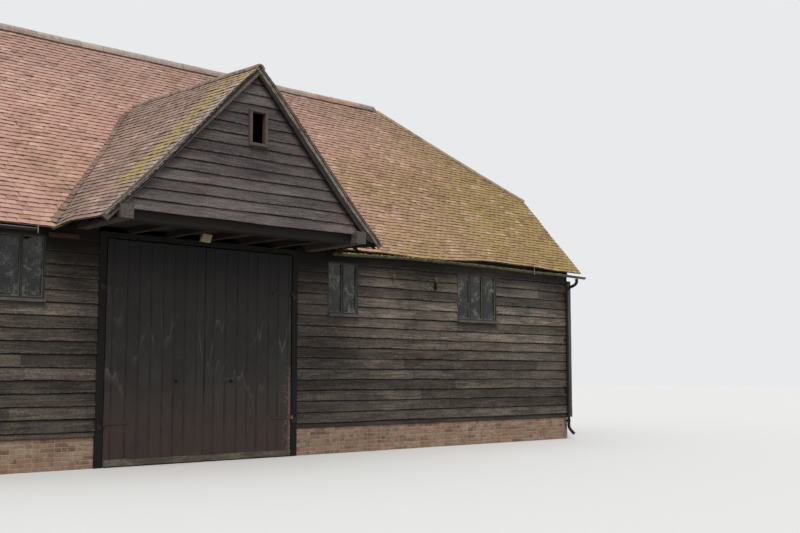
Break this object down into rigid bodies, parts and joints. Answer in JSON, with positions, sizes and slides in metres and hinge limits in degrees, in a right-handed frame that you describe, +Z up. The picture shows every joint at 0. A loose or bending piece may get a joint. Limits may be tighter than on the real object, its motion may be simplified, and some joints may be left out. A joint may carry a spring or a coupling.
{
  "type": "timber-framed barn",
  "caption": "Black weatherboarded timber-framed barn on a brick plinth, with a half-hipped clay-tile roof and a gabled canopy over double wagon doors that open.",
  "frame": {"origin": "on the ground, in the middle of the rectangle that the roof, the canopy and the gutters cover", "axes": "+X along the barn to the right seen from the front, +Y from the front to the back, +Z up"},
  "size_m": [20.2684, 9.694, 7.836],
  "materials": {
    "brick": "weathered brick, pale lime joints",
    "weatherboard": "tarred boards, weathered",
    "door_board": "tarred vertical boards, weathered",
    "dark_oak": "tarred oak, rough",
    "frame_oak": "aged bare oak",
    "tile_red": "hand-made clay tiles, matt",
    "tile_brown": "hand-made clay tiles with moss",
    "ridge_tile": "clay ridge tiles with lichen",
    "window_paint": "grey-green paint, weathered",
    "glass": "plain window glass",
    "gutter_metal": "grey paint, mossy",
    "black_iron": "black, a little rusty",
    "lamp_case": "cream, dulled"
  },
  "bodies": {
    "barn": {"plinth_front_left": "brick", "plinth_front_right": "brick", "plinth_back": "brick", "plinth_ends": "brick", "front_wall_left": "weatherboard", "front_wall_right": "weatherboard", "back_wall": "weatherboard", "left_end_wall": "weatherboard", "right_end_wall": "weatherboard", "sill_beams": "frame_oak", "frame_posts": "frame_oak", "gable_posts": "frame_oak", "wall_plates": "frame_oak", "cross_beams": "frame_oak", "curved_braces": "frame_oak", "plate_braces": "frame_oak", "wall_studs": "frame_oak", "principal_rafters": "frame_oak", "truss_struts": "frame_oak", "purlins": "frame_oak", "common_rafters": "frame_oak", "hip_and_valley_rafters": "frame_oak", "door_posts": "dark_oak", "door_head": "dark_oak", "roof_front_left": "tile_red", "roof_front_mid_left": "tile_red", "roof_front_mid_right": "tile_brown", "roof_front_right": "tile_brown", "roof_back": "tile_red", "half_hips": "tile_brown", "ridge_tiles": "ridge_tile", "hip_tiles": "ridge_tile", "canopy_roof_left": "tile_brown", "canopy_roof_right": "tile_brown", "canopy_ridge_tiles": "ridge_tile", "canopy_gable": "weatherboard", "gable_vent_frame": "dark_oak", "canopy_beam": "dark_oak", "bargeboards": "weatherboard", "soffit_joists": "dark_oak", "soffit_boards": "dark_oak", "window_frames": "window_paint", "window_glass": "glass", "window_sills": "window_paint", "gutters": "gutter_metal", "downpipes": "gutter_metal", "wall_pegs": "dark_oak", "canopy_lamp": "lamp_case", "hinge_pintles": "black_iron"},
    "door_left": {"left_door_boards": "door_board", "left_door_ledges": "dark_oak", "left_door_hinges": "black_iron", "left_door_knob": "black_iron"},
    "door_right": {"right_door_boards": "door_board", "right_door_ledges": "dark_oak", "right_door_hinges": "black_iron", "right_door_knob": "black_iron"}
  },
  "joints": [
    {"name": "left_door_hinge", "type": "hinge", "parent": "barn", "child": "door_left", "pos_m": [-1.783, -3.373, 1.7], "axis": [0, 0, -1], "range_deg": [0, 120]},
    {"name": "right_door_hinge", "type": "hinge", "parent": "barn", "child": "door_right", "pos_m": [1.783, -3.373, 1.7], "axis": [0, 0, 1], "range_deg": [0, 120]}
  ]
}
